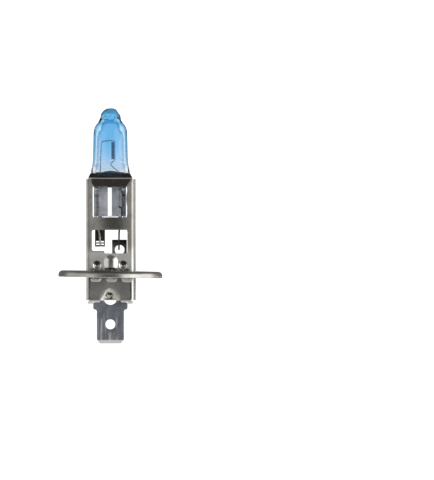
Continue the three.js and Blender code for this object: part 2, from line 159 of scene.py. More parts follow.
def catmull(points, per_span):
    """A smooth line through points of any dimension."""
    points = [Vector(p) for p in points]
    padded = [2 * points[0] - points[1], *points, 2 * points[-1] - points[-2]]
    line = []
    for a, b, c, d in zip(padded, padded[1:], padded[2:], padded[3:]):
        for k in range(per_span):
            t = k / per_span
            line.append(0.5 * (2 * b + (c - a) * t + (2 * a - 5 * b + 4 * c - d) * t * t
                               + (3 * b - a - 3 * c + d) * t ** 3))
    return [*line, points[-1]]


def tube(line, radius, sides=14):
    """A round wire along a line, with rounded ends. radius is a number or a function of the share of its length."""
    line = [Vector(p) for p in line]
    at = radius if callable(radius) else lambda share: radius
    tangent = (line[1] - line[0]).normalized()
    across = tangent.orthogonal().normalized()
    rings = []
    for i, point in enumerate(line):
        ahead = (line[min(i + 1, len(line) - 1)] - line[max(i - 1, 0)]).normalized()
        across = (across - ahead * across.dot(ahead)).normalized()
        other = ahead.cross(across)
        r = at(i / (len(line) - 1))
        ends = []
        if i == 0:
            ends = [(-0.8 * r, 0.35 * r), (-0.5 * r, 0.8 * r)]
        rings += [[point + ahead * back + (across * math.cos(a) + other * math.sin(a)) * size
                   for a in (2 * math.pi * k / sides for k in range(sides))] for back, size in ends]
        rings.append([point + (across * math.cos(a) + other * math.sin(a)) * r
                      for a in (2 * math.pi * k / sides for k in range(sides))])
        if i == len(line) - 1:
            rings += [[point + ahead * out + (across * math.cos(a) + other * math.sin(a)) * size
                       for a in (2 * math.pi * k / sides for k in range(sides))]
                      for out, size in [(0.5 * r, 0.8 * r), (0.8 * r, 0.35 * r)]]
    return skin(rings)


def rounded(corners, open_line=False, steps=6):
    """A polygon whose corners (x, y, radius) are rounded by arcs. An open line keeps its two ends."""
    points = []
    for i, (x, y, *rest) in enumerate(corners):
        radius = rest[0] if rest else 0
        corner = Vector((x, y))
        if not radius or (open_line and i in (0, len(corners) - 1)):
            points.append(corner)
            continue
        back = (Vector(corners[i - 1][:2]) - corner).normalized()
        ahead = (Vector(corners[(i + 1) % len(corners)][:2]) - corner).normalized()
        half = math.acos(max(-1, min(1, back.dot(ahead)))) / 2
        centre = corner + (back + ahead).normalized() * radius / math.sin(half)
        start = corner + back * radius / math.tan(half) - centre
        end = corner + ahead * radius / math.tan(half) - centre
        turn = math.atan2(start.x * end.y - start.y * end.x, start.dot(end))
        for k in range(steps + 1):
            points.append(centre + Matrix.Rotation(turn * k / steps, 2) @ start)
    return points


def circle(x, y, radius, steps=40):
    return [Vector((x + radius * math.cos(2 * math.pi * k / steps), y + radius * math.sin(2 * math.pi * k / steps)))
            for k in range(steps)]


def ribbon(line, thickness):
    """The outline of a sheet of one thickness whose middle follows an open line."""
    sides = ([], [])
    for i, point in enumerate(line):
        before = (point - line[i - 1]).normalized() if i else (line[1] - line[0]).normalized()
        after = (line[i + 1] - point).normalized() if i + 1 < len(line) else before
        along = (before + after).normalized()
        reach = thickness / 2 / along.dot(after)
        for side, sign in zip(sides, (-1, 1)):
            side.append(point + Vector((-along.y, along.x)) * reach * sign)
    return sides[0] + sides[1][::-1]


FACING = {  # local X, Y, Z of an outline as directions in the frame
    "front": Matrix(((1, 0, 0), (0, 0, -1), (0, 1, 0))),   # outline in X and Z, depth along -Y
    "side": Matrix(((0, 0, 1), (1, 0, 0), (0, 1, 0))),     # outline in Y and Z, depth along X
    "top": Matrix.Identity(3),                             # outline in X and Y, depth along Z
}


def extruded(loops, low, high, facing, bevel=0.0, bevel_steps=2):
    """Closed outlines (the first is the outer one, the rest are holes) made solid between two depths, with bevelled
    edges that stay inside the outline."""
    curve = bpy.data.curves.new("outline", "CURVE")
    curve.dimensions, curve.fill_mode = "2D", "BOTH"
    curve.extrude = ((high - low) / 2 - bevel) * MM
    curve.bevel_depth, curve.bevel_resolution, curve.offset = bevel * MM, bevel_steps - 1, -bevel * MM
    for loop in loops:
        spline = curve.splines.new("POLY")
        spline.points.add(len(loop) - 1)
        spline.use_cyclic_u = True
        for target, point in zip(spline.points, loop):
            target.co = (point.x * MM, point.y * MM, 0, 1)
    mesh = baked(as_object(curve))
    bpy.data.curves.remove(curve)
    mesh.transform(FACING[facing].to_4x4())
    depth = FACING[facing] @ Vector((0, 0, 1))
    middle = abs((low + high) / 2) * math.copysign(1, low + high) * MM
    direction = Vector(map(abs, depth))
    mesh.transform(Matrix.Translation(direction * middle))
    work = bmesh.new()
    work.from_mesh(mesh)
    bmesh.ops.remove_doubles(work, verts=work.verts, dist=1e-7)
    bmesh.ops.recalc_face_normals(work, faces=work.faces)
    work.to_mesh(mesh)
    work.free()
    return mesh


def joined(*meshes):
    """Several separate bodies in one mesh."""
    work = bmesh.new()
    for mesh in meshes:
        work.from_mesh(mesh)
    made = bpy.data.meshes.new("joined")
    work.to_mesh(made)
    work.free()
    return made


def smoothstep(low, high, value):
    """Rises from 0 at low to 1 at high, or falls if low is above high."""
    t = max(0.0, min(1.0, (value - low) / (high - low)))
    return t * t * (3 - 2 * t)


# ---- materials ----
class Tree:
    """A material's nodes, with millimetre coordinates."""

    def __init__(self, name):
        self.material = bpy.data.materials.new(name)
        self.material.use_nodes = True
        self.nodes, self.links = self.material.node_tree.nodes, self.material.node_tree.links
        self.shader = self.nodes["Principled BSDF"]
        place = self.nodes.new("ShaderNodeTexCoord")
        scale = self.nodes.new("ShaderNodeMapping")
        scale.inputs["Scale"].default_value = (1 / MM,) * 3
        self.links.new(place.outputs["Object"], scale.inputs["Vector"])
        self.mm = scale.outputs["Vector"]

    def feed(self, socket, value):
        if isinstance(value, bpy.types.NodeSocket):
            self.links.new(value, socket)
        else:
            socket.default_value = value

    def add(self, kind, inputs=(), out=0, **settings):
        node = self.nodes.new("ShaderNode" + kind)
        for key, value in settings.items():
            setattr(node, key, value)
        for key, value in dict(inputs).items():
            self.feed(node.inputs[key], value)
        return node.outputs[out]

    def math(self, operation, a, b=0.0, c=0.0, clamp=False):
        return self.add("Math", {0: a, 1: b, 2: c}, operation=operation, use_clamp=clamp)

    def stretch(self, x, y, z):
        return self.add("Mapping", {"Vector": self.mm, "Scale": (x, y, z)})

    def noise(self, scale, detail=3.0, rough=0.5, vector=None):
        return self.add("TexNoise", {"Vector": vector or self.mm, "Scale": scale, "Detail": detail,
                                     "Roughness": rough}, out="Fac")

    def ramp(self, value, *stops):
        node = self.nodes.new("ShaderNodeValToRGB")
        elements = node.color_ramp.elements
        while len(elements) < len(stops):
            elements.new(0.5)
        for element, (at, colour) in zip(elements, stops):
            element.position = at
            element.color = (*colour, 1) if isinstance(colour, tuple) else (colour,) * 3 + (1,)
        self.links.new(value, node.inputs["Fac"])
        return node.outputs["Color"]

    def mix(self, share, a, b, blend="MIX"):
        node = self.nodes.new("ShaderNodeMix")
        node.data_type, node.blend_type = "RGBA", blend
        for socket, value in zip((node.inputs[0], node.inputs[6], node.inputs[7]), (share, a, b)):
            if isinstance(value, tuple):
                value = (*value, 1)
            self.feed(socket, value)
        return node.outputs[2]

    def axis(self, name):
        return self.add("SeparateXYZ", {0: self.mm}, out=name)

    def between(self, value, low, high):
        return self.add("MapRange", {"Value": value, "From Min": low, "From Max": high},
                        interpolation_type="SMOOTHSTEP")

    def bump(self, height, distance, strength=1.0):
        self.feed(self.shader.inputs["Normal"], self.add(
            "Bump", {"Height": height, "Distance": distance * MM, "Strength": strength}))

    def set(self, **values):
        for key, value in values.items():
            if isinstance(value, tuple) and len(value) == 3:
                value = (*value, 1)
            self.feed(self.shader.inputs[key.replace("_", " ")], value)
        return self.material


def srgb(*channels):
    """0 to 255 display values as linear ones."""
    return tuple(c / 255 / 12.92 if c <= 10 else ((c / 255 + 0.055) / 1.055) ** 2.4 for c in channels)


def sheet_metal(name, dark, light, rough=0.3, grain=(1.0, 1.0, 0.12), scratch=0.5, stains=0.5, shade=None,
                metallic=1.0):
    """Rolled and plated sheet: cloudy tone, fine rolling lines, specks and scratches. shade(tree, tone, roughness)
    adds what is particular to one piece."""
    t = Tree(name)
    clouds = t.noise(0.22, 4.0, 0.55)
    blotches = t.noise(1.1, 5.0, 0.6)
    fine = t.noise(9.0, 4.0, 0.65)
    rolled = t.noise(16.0, 3.0, 0.6, t.stretch(*grain))
    tone = t.mix(t.between(clouds, 0.35, 0.68), dark, light)
    tone = t.mix(t.math("MULTIPLY", t.between(blotches, 0.5, 0.75), stains), tone, tuple(c * 0.55 for c in dark))
    tone = t.mix(t.math("MULTIPLY", t.between(fine, 0.45, 0.7), 0.22), tone, tuple(min(1, c * 1.25) for c in light))
    lines = t.add("TexVoronoi", {"Vector": t.stretch(2.2, 2.2, 0.14), "Scale": 1.6},
                  feature="DISTANCE_TO_EDGE", out="Distance")
    scored = t.math("MULTIPLY", t.between(lines, 0.03, 0.0), t.between(t.noise(0.8), 0.5, 0.62))
    tone = t.mix(t.math("MULTIPLY", scored, scratch), tone, tuple(min(1, c * 1.6) for c in light))
    mottle = t.math("ADD", t.math("MULTIPLY", blotches, 0.6), t.math("MULTIPLY", rolled, 0.4))
    roughness = t.add("MapRange", {"Value": mottle, "From Min": 0.3, "From Max": 0.7,
                                   "To Min": rough - 0.07, "To Max": rough + 0.1})
    if shade:
        tone, roughness, metallic = shade(t, tone, roughness)
    height = t.math("ADD", t.math("MULTIPLY", rolled, 0.5), t.math("MULTIPLY", fine, 0.5))
    height = t.math("SUBTRACT", height, t.math("MULTIPLY", scored, 0.6))
    t.bump(height, 0.012, 0.5)
    return t.set(Base_Color=tone, Metallic=metallic, Roughness=roughness)


def dimmed(t, tone, mask, amount, colour=(0.0, 0.0, 0.0)):
    return t.mix(t.math("MULTIPLY", mask, amount), tone, colour)


def sleeve_shade(t, tone, roughness):
    """Painted shade on the top face, the collar and the bridge between the windows, and darker above 7 mm; painted
    highlight on the faces between the flange and the lower window; a bluish painted shadow of the flange under it;
    painted shade just above the flange, along the panel edges and in the pressings; painted highlights along the
    collar line and in the lowest punch; burnished pressings and a lightened, unplated cut edge at the lap."""
    x, y, z = t.axis("X"), t.axis("Y"), t.axis("Z")
    middle = t.between(t.math("ABSOLUTE", t.math("SUBTRACT", x, 0.9)), 4.6, 0.8)
    mitre = t.math("ADD", t.math("ABSOLUTE", x), t.math("MULTIPLY", t.math("SUBTRACT", z, 21.2), -0.7))
    # Painted shade on the top face, narrowing downward with mitred corners, and on the collar above it.
    painted_top_shade = t.math("MULTIPLY", t.between(z, 19.3, 19.7), t.math("MULTIPLY", t.between(mitre, 5.15, 4.65),
                                                              t.between(x, -4.8, -4.0)))
    painted_top_shade = t.math("MAXIMUM", painted_top_shade, t.between(z, 21.6, 21.8))
    # Painted shade on the bridge between the windows, strongest near the middle.
    painted_bridge_shade = t.math("MULTIPLY", middle, t.math("MULTIPLY", t.between(z, 8.4, 10.2), t.between(z, 14.5, 12.6)))
    burnished = None
    for px, pz, half_x, half_z in [(*p, PUNCH_MOUTH, PUNCH_MOUTH) for p in PUNCHES] + [
            (RIDGE_X, (RIDGE_TOP + RIDGE_BOTTOM) / 2, RIDGE_HALF, (RIDGE_TOP - RIDGE_BOTTOM) / 2)]:
        mask = oval(t, x, z, px, pz, half_x, half_z)
        burnished = mask if burnished is None else t.math("MAXIMUM", burnished, mask)
    # Painted shadow of the flange: the faces under it are darker and bluish, less so at the middle and on the stake
    # dent.
    painted_flange_shadow = t.math("MULTIPLY", t.between(z, -0.8, -1.6),
                   t.math("SUBTRACT", 1.0, oval(t, x, z, 0.0, -6.9, STAKE_HALF, 2.7)))
    # Painted shade: the sleeve is darker above about 7 mm.
    tone = dimmed(t, tone, t.between(z, 4.0, 7.0), 0.25)
    # Painted highlight: the front and rear faces between the flange and the lower window are lightened almost to white.
    wall = t.between(t.math("ABSOLUTE", x), 5.0, 4.6)
    tone = dimmed(t, tone, t.math("MULTIPLY", wall, t.math("MULTIPLY", t.between(z, 4.7, 4.0), t.between(z, -0.8, -0.3))),
                  0.9, srgb(242, 240, 234))
    tone = dimmed(t, tone, painted_bridge_shade, 0.7, srgb(20, 22, 26))
    tone = dimmed(t, tone, painted_top_shade, 0.87, srgb(30, 26, 20))
    painted_flange_shadow = t.math("MULTIPLY", painted_flange_shadow, t.add("MapRange", {"Value": t.math("ABSOLUTE", x), "From Min": 0.5,
                                                          "From Max": 3.5, "To Min": 0.62}))
    tone = dimmed(t, tone, t.math("MULTIPLY", painted_flange_shadow, t.between(t.math("ABSOLUTE", x), 4.95, 4.75)), 0.52,
                  srgb(42, 46, 70))
    # Painted shade in a thin line just above the flange on the front face, broken up by noise.
    painted_shade_above_flange = t.math("MULTIPLY", t.between(z, 0.8, 0.25), t.between(t.math("ABSOLUTE", x), 4.9, 4.2))
    painted_shade_above_flange = t.math("MULTIPLY", painted_shade_above_flange, t.between(z, -0.8, -0.3))
    painted_shade_above_flange = t.math("MULTIPLY", painted_shade_above_flange, t.between(t.noise(1.2, 3.0, 0.6), 0.34, 0.56))
    # Painted shade along the left and right edges of the panel under the flange.
    painted_panel_edge_shade = None
    for edge in (PANEL_LEFT, PANEL_RIGHT):
        line = t.between(t.math("ABSOLUTE", t.math("SUBTRACT", x, edge)), 0.2, 0.08)
        painted_panel_edge_shade = line if painted_panel_edge_shade is None else t.math("MAXIMUM", painted_panel_edge_shade, line)
    painted_panel_edge_shade = t.math("MULTIPLY", painted_panel_edge_shade, t.math("MULTIPLY", t.between(z, -0.9, -1.1), t.between(z, -6.7, -6.5)))
    tone = dimmed(t, tone, t.math("MAXIMUM", t.math("MULTIPLY", painted_shade_above_flange, t.between(y, 0.0, -1.0)), painted_panel_edge_shade), 0.8,
                  srgb(28, 26, 24))
    # Painted shade on the upper half of the two upper punches.
    for px, pz in PUNCHES[:2]:
        tone = dimmed(t, tone, oval(t, x, z, px, pz + 0.38, 0.72, 0.46), 0.72, srgb(26, 24, 20))
    # Painted shade at the top and the lower middle of the ridge.
    tone = dimmed(t, tone, oval(t, x, z, RIDGE_X, 3.05, 0.85, 0.5), 0.45, srgb(40, 42, 44))
    tone = dimmed(t, tone, oval(t, x, z, RIDGE_X, 2.6, 0.4, 0.5), 0.3, srgb(40, 42, 44))
    # Painted shade in the lowest punch: dark at its top and in a small patch low on the right.
    low_x, low_z = PUNCHES[2]
    for at_x, at_z, half_x, half_z, colour in (
        (0.1, 0.36, 0.55, 0.3, (20, 20, 20)), (0.25, -0.5, 0.2, 0.3, (40, 40, 40)),
    ):
        tone = dimmed(t, tone, oval(t, x, z, low_x + at_x, low_z + at_z, half_x, half_z), 0.85, srgb(*colour))
    roughness = t.add("Mix", {0: t.between(t.math("ABSOLUTE", x), 4.85, 5.05), 2: roughness, 3: 0.2})
    roughness = t.add("Mix", {0: burnished, 2: roughness, 3: 0.15})
    lap = t.math("MULTIPLY", t.between(x, 5.46, 5.54), t.between(y, 0.0, -2.0))
    # Painted highlight: a light, less metallic line along the collar line.
    rim = t.math("MULTIPLY", t.between(t.math("ABSOLUTE", t.math("SUBTRACT", z, 21.53)), 0.16, 0.08), 0.42)
    # Painted highlight: a light, non-metallic patch low on the left of the lowest punch.
    painted_punch_highlight = t.math("MULTIPLY", oval(t, x, z, low_x - 0.2, low_z - 0.25, 0.42, 0.36), t.between(y, 0.0, -2.0))
    # Light and non-metallic: the unplated cut edge at the lap, lightened partly as painted highlight, and the two
    # painted highlights above.
    cut_edge_and_painted_highlight = t.math("MAXIMUM", t.math("MAXIMUM", lap, rim), painted_punch_highlight)
    return t.mix(cut_edge_and_painted_highlight, tone, srgb(208, 208, 206)), roughness, t.math("SUBTRACT", 1.0, cut_edge_and_painted_highlight)


def oval(t, x, z, centre_x, centre_z, half_x, half_z):
    """1 inside an oval of the wall, falling to 0 just outside it."""
    across = t.math("DIVIDE", t.math("SUBTRACT", x, centre_x), half_x)
    along = t.math("DIVIDE", t.math("SUBTRACT", z, centre_z), half_z)
    return t.between(t.math("ADD", t.math("MULTIPLY", across, across), t.math("MULTIPLY", along, along)), 1.3, 0.8)


def tongue_shade(t, tone, roughness):
    """The tongues under the flange are duller and paler than its polished rim, with dark marks; the middle of the
    flange's top edge has painted shade.
    """
    x, y, z = t.axis("X"), t.axis("Y"), t.axis("Z")
    tongue = t.math("MULTIPLY", t.between(z, -1.1, -1.5), t.between(t.math("ABSOLUTE", y), 6.0, 5.4))
    roughness = t.add("Mix", {0: tongue, 2: roughness, 3: 0.5})
    tone = t.mix(tongue, tone, srgb(214, 212, 210))
    worn = t.math("MULTIPLY", t.between(t.noise(1.8, 4.0, 0.7), 0.42, 0.54), tongue)
    worn = t.math("MULTIPLY", worn, t.between(z, -2.05, -1.8))
    centre = t.between(t.math("ABSOLUTE", x), 6.0, 2.5)
    # Painted shade along the middle of the flange's top edge; the same dark colour also gives the dark marks on the
    # tongues.
    top = t.math("MULTIPLY", t.between(z, -0.7, -0.2), t.math("MULTIPLY", centre, 0.7))
    tone = dimmed(t, tone, t.math("MAXIMUM", t.math("MULTIPLY", worn, 0.8), top), 1.0, srgb(44, 50, 52))
    return tone, roughness, t.math("SUBTRACT", 1.0, t.math("MULTIPLY", tongue, 0.5))


def blade_shade(t, tone, roughness):
    """Plugging and unplugging leaves long bright streaks down the blade; its bevelled tip is lightened and made less
    metallic as a painted highlight.
    """
    x, z = t.axis("X"), t.axis("Z")
    streaks = t.between(t.noise(2.4, 2.0, 0.5, t.stretch(1.0, 1.0, 0.05)), 0.54, 0.7)
    for at, width, top in ((-2.05, 0.24, -10.2), (1.5, 0.22, -10.4), (-0.1, 0.42, -13.9), (-2.9, 0.14, -9.4)):
        line = t.between(t.math("ABSOLUTE", t.math("SUBTRACT", x, at)), width, width * 0.35)
        line = t.math("MULTIPLY", line, t.between(z, top, top - 1.0))
        line = t.math("MULTIPLY", line, t.between(t.noise(1.8, 3.0, 0.6, t.stretch(1.0, 1.0, 0.2)), 0.35, 0.55))
        streaks = t.math("MAXIMUM", streaks, line)
    rubbed = t.math("MULTIPLY", t.math("MULTIPLY", t.between(z, -9.5, -12.0), streaks), 0.8)
    # Painted highlight on the bevelled tip.
    tip = t.between(z, -16.15, -16.3)
    tone = t.mix(rubbed, tone, srgb(226, 226, 228))
    return t.mix(tip, tone, srgb(200, 199, 198)), roughness, t.math("SUBTRACT", 1.0, t.math("MULTIPLY", tip, 0.75))


def foil_shade(t, tone, roughness):
    """Folds, notches and pale patches along the outer edges of the foils, which darken towards those edges, most on the
    right foil; a painted highlight on the left foil where the ground lead lies.
    """
    x, z = t.axis("X"), t.axis("Z")
    edge = t.between(t.math("ABSOLUTE", x), 2.95, 3.15)
    tone = dimmed(t, tone, t.math("MULTIPLY", edge, t.between(x, -1.0, 1.0)), 0.6, srgb(44, 42, 38))
    tone = dimmed(t, tone, t.math("MULTIPLY", edge, t.between(x, 1.0, -1.0)), 0.15, srgb(60, 60, 60))
    for centre_x, centre_z, half_x, half_z, colour in (
        (-3.1, 19.0, 0.4, 0.28, (225, 228, 230)), (-3.1, 18.3, 0.3, 0.3, (225, 228, 230)),
        (2.85, 18.95, 0.34, 0.42, (225, 228, 230)), (-3.1, 17.5, 0.36, 0.16, (40, 40, 42)),
        (3.2, 17.6, 0.4, 0.26, (30, 30, 32)), (-3.0, 14.75, 0.3, 0.2, (40, 40, 42)),
        # (-2.85, 13.6) is a painted highlight where the ground lead lies on the left foil.
        (-2.85, 13.6, 0.26, 0.9, (235, 236, 236)), (-2.86, 16.0, 0.07, 1.5, (74, 76, 80)),
        (2.05, 16.8, 0.07, 2.6, (90, 92, 96)),
        (-3.1, 19.45, 0.5, 0.1, (40, 40, 42)), (2.55, 18.6, 0.1, 0.6, (60, 60, 62)),
    ):
        tone = t.mix(t.math("MULTIPLY", oval(t, x, z, centre_x, centre_z, half_x, half_z), 0.85), tone,
                     srgb(*colour))
    return tone, roughness, 1.0


def strip_shade(t, tone, roughness):
    """The strips are lighter towards the bottom and keep their dark tone towards the pinch."""
    z = t.axis("Z")
    return dimmed(t, tone, t.between(z, 6.6, 5.0), 0.6, srgb(190, 190, 192)), roughness, 1.0


PLATED = sheet_metal("plated_sheet", srgb(194, 190, 182), srgb(222, 218, 210), 0.5, shade=sleeve_shade)
FLANGE_METAL = sheet_metal("flange_sheet", srgb(172, 170, 163), srgb(202, 200, 194), 0.26, (0.3, 0.3, 1.0), 0.2, 0.3,
                           tongue_shade)
BLADE_METAL = sheet_metal("blade_strip", srgb(128, 132, 140), srgb(158, 162, 168), 0.52, (1.0, 1.0, 0.08), 0.9, 0.35,
                          blade_shade)
DARK_SHEET = sheet_metal("dark_sheet", srgb(70, 70, 70), srgb(110, 110, 108), 0.4, (1.0, 1.0, 0.3), 0.3, 0.5,
                         strip_shade)
BRIGHT_FOIL = sheet_metal("bright_foil", srgb(160, 163, 168), srgb(187, 190, 194), 0.4, (1.0, 1.0, 0.2), 0.2, 0.2,
                          foil_shade)
# The right foil gets a darker copy of the left foil's material: painted shade.
SHADED_FOIL = sheet_metal("shaded_foil", srgb(136, 139, 144), srgb(160, 163, 168), 0.36, (1.0, 1.0, 0.2), 0.2, 0.2,
                        foil_shade)
OXIDISED = sheet_metal("oxidised_lead", srgb(74, 76, 80), srgb(108, 110, 114), 0.3, (1.0, 1.0, 1.0), 0.1, 0.3)
MOLYBDENUM = sheet_metal("molybdenum", srgb(140, 144, 150), srgb(175, 178, 184), 0.36, (1.0, 1.0, 0.2), 0.2, 0.2)
WELD = sheet_metal("weld_metal", srgb(204, 199, 186), srgb(232, 228, 216), 0.3, (1.0, 1.0, 1.0), 0.1, 0.3,
                   metallic=0.7)


def tungsten():
    t = Tree("tungsten_wire")
    drawn = t.noise(14.0, 3.0, 0.6)
    tone = t.mix(t.between(drawn, 0.35, 0.7), srgb(120, 140, 176), srgb(176, 192, 220))
    t.bump(drawn, 0.004, 0.5)
    return t.set(Base_Color=tone, Metallic=1.0, Roughness=t.add(
        "MapRange", {"Value": drawn, "To Min": 0.3, "To Max": 0.55}))


def steatite():
    t = Tree("pressed_ceramic")
    cloudy = t.noise(0.6, 4.0, 0.6)
    grit = t.noise(12.0, 5.0, 0.7)
    tone = t.mix(t.between(cloudy, 0.35, 0.7), srgb(196, 195, 190), srgb(222, 221, 216))
    tone = t.mix(t.math("MULTIPLY", t.between(grit, 0.58, 0.72), 0.35), tone, srgb(140, 136, 128))
    t.bump(grit, 0.03, 0.5)
    return t.set(Base_Color=tone, Roughness=t.add("MapRange", {"Value": grit, "To Min": 0.6, "To Max": 0.85}))


def coated_quartz():
    """Clear quartz with an absorbing blue coating that is strong at the tip and fades out towards the pinch."""
    t = Tree("coated_quartz")
    height = t.axis("Z")
    depth = t.add("MapRange", {"Value": height, "From Min": 21.0, "From Max": 37.0})
    streaks = t.noise(0.9, 2.0, 0.5, t.stretch(1.0, 1.0, 0.25))
    depth = t.math("ADD", depth, t.math("MULTIPLY", t.math("SUBTRACT", streaks, 0.5), 0.06), clamp=True)
    tone = t.ramp(depth, (0.0, srgb(248, 250, 252)), (0.18, srgb(209, 221, 231)), (0.3, srgb(192, 216, 236)),
                  (0.44, srgb(172, 211, 235)), (0.6, srgb(160, 206, 233)), (0.8, srgb(160, 207, 236)),
                  (0.88, srgb(128, 201, 238)), (0.98, srgb(80, 168, 222)))
    edge = t.add("LayerWeight", {"Blend": 0.35}, out="Facing")
    deeper = t.ramp(depth, (0.0, srgb(180, 190, 204)), (0.18, srgb(118, 148, 178)), (0.3, srgb(78, 130, 168)),
                    (0.44, srgb(48, 112, 154)), (0.6, srgb(40, 104, 148)), (0.85, srgb(50, 124, 172)))
    tone = t.mix(t.between(edge, 0.16, 0.48), tone, deeper)
    swirl = t.math("ABSOLUTE", t.math("SUBTRACT", t.noise(0.75, 3.0, 0.6, t.stretch(1.0, 1.0, 1.4)), 0.5))
    fused = t.math("MULTIPLY", t.between(swirl, 0.035, 0.0), t.between(depth, 0.78, 0.88))
    tone = t.mix(t.math("MULTIPLY", fused, 0.6), tone, srgb(40, 116, 168))
    return t.set(Base_Color=tone, Roughness=0.0, IOR=1.46, Transmission_Weight=1.0)


QUARTZ = coated_quartz()


# ---- glass ----
def glass_envelope():
    low, high = NODE_BOX["glass_envelope"]
    tip, foot = high.z, low.z
    half = high.x
    outer = catmull([
        (half, 22.4), (half - 0.19, 23.7), (half - 0.47, 25.4), (half - 0.58, 28.0), (half - 0.65, 31.0),
        (half - 0.76, 32.8), (half - 1.15, 33.85), (half - 1.88, 34.75), (half - 2.27, 35.6),
        (half - 2.52, 36.5), (half - 2.95, 37.3), (half - 3.7, tip - 0.12), (0.3, tip),
    ], 8)
    pinch_half, pinch_thick, rail_thick = 3.75, 0.95, 1.3
    sides = 112

    def around(x, y, square, rail=0.0):
        ring = []
        for i in range(sides):
            a = 2 * math.pi * i / sides
            px = x * math.copysign(abs(math.cos(a)) ** (2 / square), math.cos(a))
            thick = 1 + rail * smoothstep(x - 0.95, x - 0.6, abs(px))
            ring.append((px, y * thick * math.copysign(abs(math.sin(a)) ** (2 / square), math.sin(a))))
        return ring

    rail = rail_thick / pinch_thick - 1
    stations = [
        (foot, pinch_half - 0.25, pinch_thick - 0.25, 6, rail), (foot + 0.08, pinch_half - 0.1, pinch_thick - 0.1, 7, rail),
        (foot + 0.25, pinch_half, pinch_thick, 8, rail), (14.0, pinch_half, pinch_thick, 8, rail),
        (16.0, pinch_half, pinch_thick, 8, rail), (18.0, pinch_half, pinch_thick, 8, rail),
        (19.4, pinch_half, pinch_thick, 8, rail), (20.2, pinch_half + 0.12, pinch_thick + 0.15, 6, rail * 0.7),
        (20.9, pinch_half + 0.4, 1.5, 4.2, rail * 0.3), (21.6, pinch_half + 0.78, 2.05, 3, 0),
    ]
    rings = []
    for z, w, d, s, r in stations:
        shift = -0.1 * smoothstep(21.6, 19.4, z)
        drop = 0.42 if z < 13.5 else 0.0
        rings.append([(x + shift, y, z - drop * smoothstep(w - 1.15, w - 0.95, abs(x))) for x, y in around(w, d, s, r)])
    for w, z in outer:
        flat = 1 - 0.42 * smoothstep(22.4, 25.5, 25.5 + 22.4 - z)
        rings.append([(x, y, z) for x, y in around(w, w * flat, 2)])
    vertices, faces = skin(rings)

    APARTS = (8.5, 11.0, 61.0)

    def lumpy(point):
        """The fused exhaust tip is uneven."""
        x, y, z = point
        share = smoothstep(34.2, 35.4, z)
        if not share:
            return point
        drift = Vector()
        for scale, size in ((0.75, 0.25), (1.9, 0.09)):
            drift += size * Vector([noise.noise(Vector((x, y, z)) * scale + Vector((0, 0, apart))) for apart in APARTS])
        drift.z = min(drift.z, 0) if z > tip - 0.3 else drift.z
        return Vector((x, y, z)) + drift * share

    vertices = [lumpy(p) for p in vertices]
    vertices = [Vector((v[0], v[1], min(v[2], tip))) for v in vertices]
    def outer_half(z):
        """Half width and half depth of the outside at a height above the pinch."""
        for (w0, z0), (w1, z1) in zip(outer, outer[1:]):
            if z <= z1:
                break
        w = w0 + (w1 - w0) * max(0.0, min(1.0, (z - z0) / (z1 - z0)))
        return w, w * (1 - 0.42 * smoothstep(22.4, 25.5, 25.5 + 22.4 - z))

    inner = catmull([
        (0.25, 23.42), (1.2, 23.25), (2.2, 22.8), (2.85, 22.5), (3.25, 22.5), (3.48, 22.85), (3.5, 23.5), (3.4, 24.5),
        (3.28, 26.5), (3.2, 29.0), (3.14, 31.2), (2.93, 32.3), (2.5, 33.1), (1.95, 34.0), (1.5, 34.7), (1.05, 35.2),
        (0.55, 35.5), (0.12, 35.6),
    ], 7)
    hollow = []
    for w, z in inner:
        width, depth = outer_half(z)
        flat = (depth - 0.78) / (width - 0.78) if z < 26.5 else 1
        hollow.append([(x, y, z) for x, y in around(w, w * flat, 2)])
    inside, inside_faces = skin(hollow, flip=True)
    start = len(vertices)
    faces += [tuple(i + start for i in f) for f in inside_faces]
    return new_mesh("glass_envelope", [*vertices, *inside], faces)


GLASS = piece("bulb_glass", glass_envelope(), QUARTZ, "glass", "glass_envelope")


# ---- filament, leads and foils ----
def filament():
    low, high = NODE_BOX["filament"]
    centre_x = (low.x + high.x) / 2
    wire, turns, steps = 0.075, 17, 24
    radius = (high.x - low.x) / 2 - wire
    bottom, top = low.z + 0.3, high.z - 0.25
    coil = [
        (centre_x + radius * math.cos(2 * math.pi * k / steps), radius * math.sin(2 * math.pi * k / steps),
         bottom + (top - bottom) * k / steps / turns)
        for k in range(steps * turns + 1)
    ]
    first, last = Vector(coil[0]), Vector(coil[-1])
    foot = catmull([(0.6, 0, low.z - 0.25), (0.85, 0, low.z - 0.1), (first.x, 0, low.z + 0.12), coil[0]], 6)
    head = catmull([coil[-1], (last.x - 0.05, 0, top + 0.14), (0.8, 0, high.z), (0.3, 0, high.z + 0.02)], 6)
    return new_mesh("filament", *tube([*foot[:-1], *coil, *head[1:]], wire, 8))


piece("filament_coil", filament(), tungsten(), "tungsten", "filament")


def lead(name, points, radius, material, slot, node, per_span=10):
    piece(name, new_mesh(name, *tube(catmull(points, per_span), radius)), material, slot, node)


LONG_X = (NODE_BOX["inner_lead_long"][0].x + 0.15)
SHORT_X = (NODE_BOX["inner_lead_short"][1].x - 0.15)
lead("long_lead", [(LONG_X, 0, 20.35), (LONG_X, 0, 22.5), (LONG_X + 0.1, 0, 26), (LONG_X + 0.23, 0, 29.2),
                   (LONG_X + 0.38, 0, 29.95), (-1.4, 0, 30.25), (-0.5, 0, 30.32), (0.35, 0, 30.32)], 0.12, MOLYBDENUM,
     "molybdenum", "inner_lead_long")
lead("short_lead", [(SHORT_X, 0, 20.35), (SHORT_X, 0, 22.6), (1.85, 0, 23.2), (0.3, 0, 24.62), (0.1, 0, 24.95),
                    (0.32, 0, 25.28), (0.62, 0, 25.5)], 0.1, MOLYBDENUM, "molybdenum", "inner_lead_short")


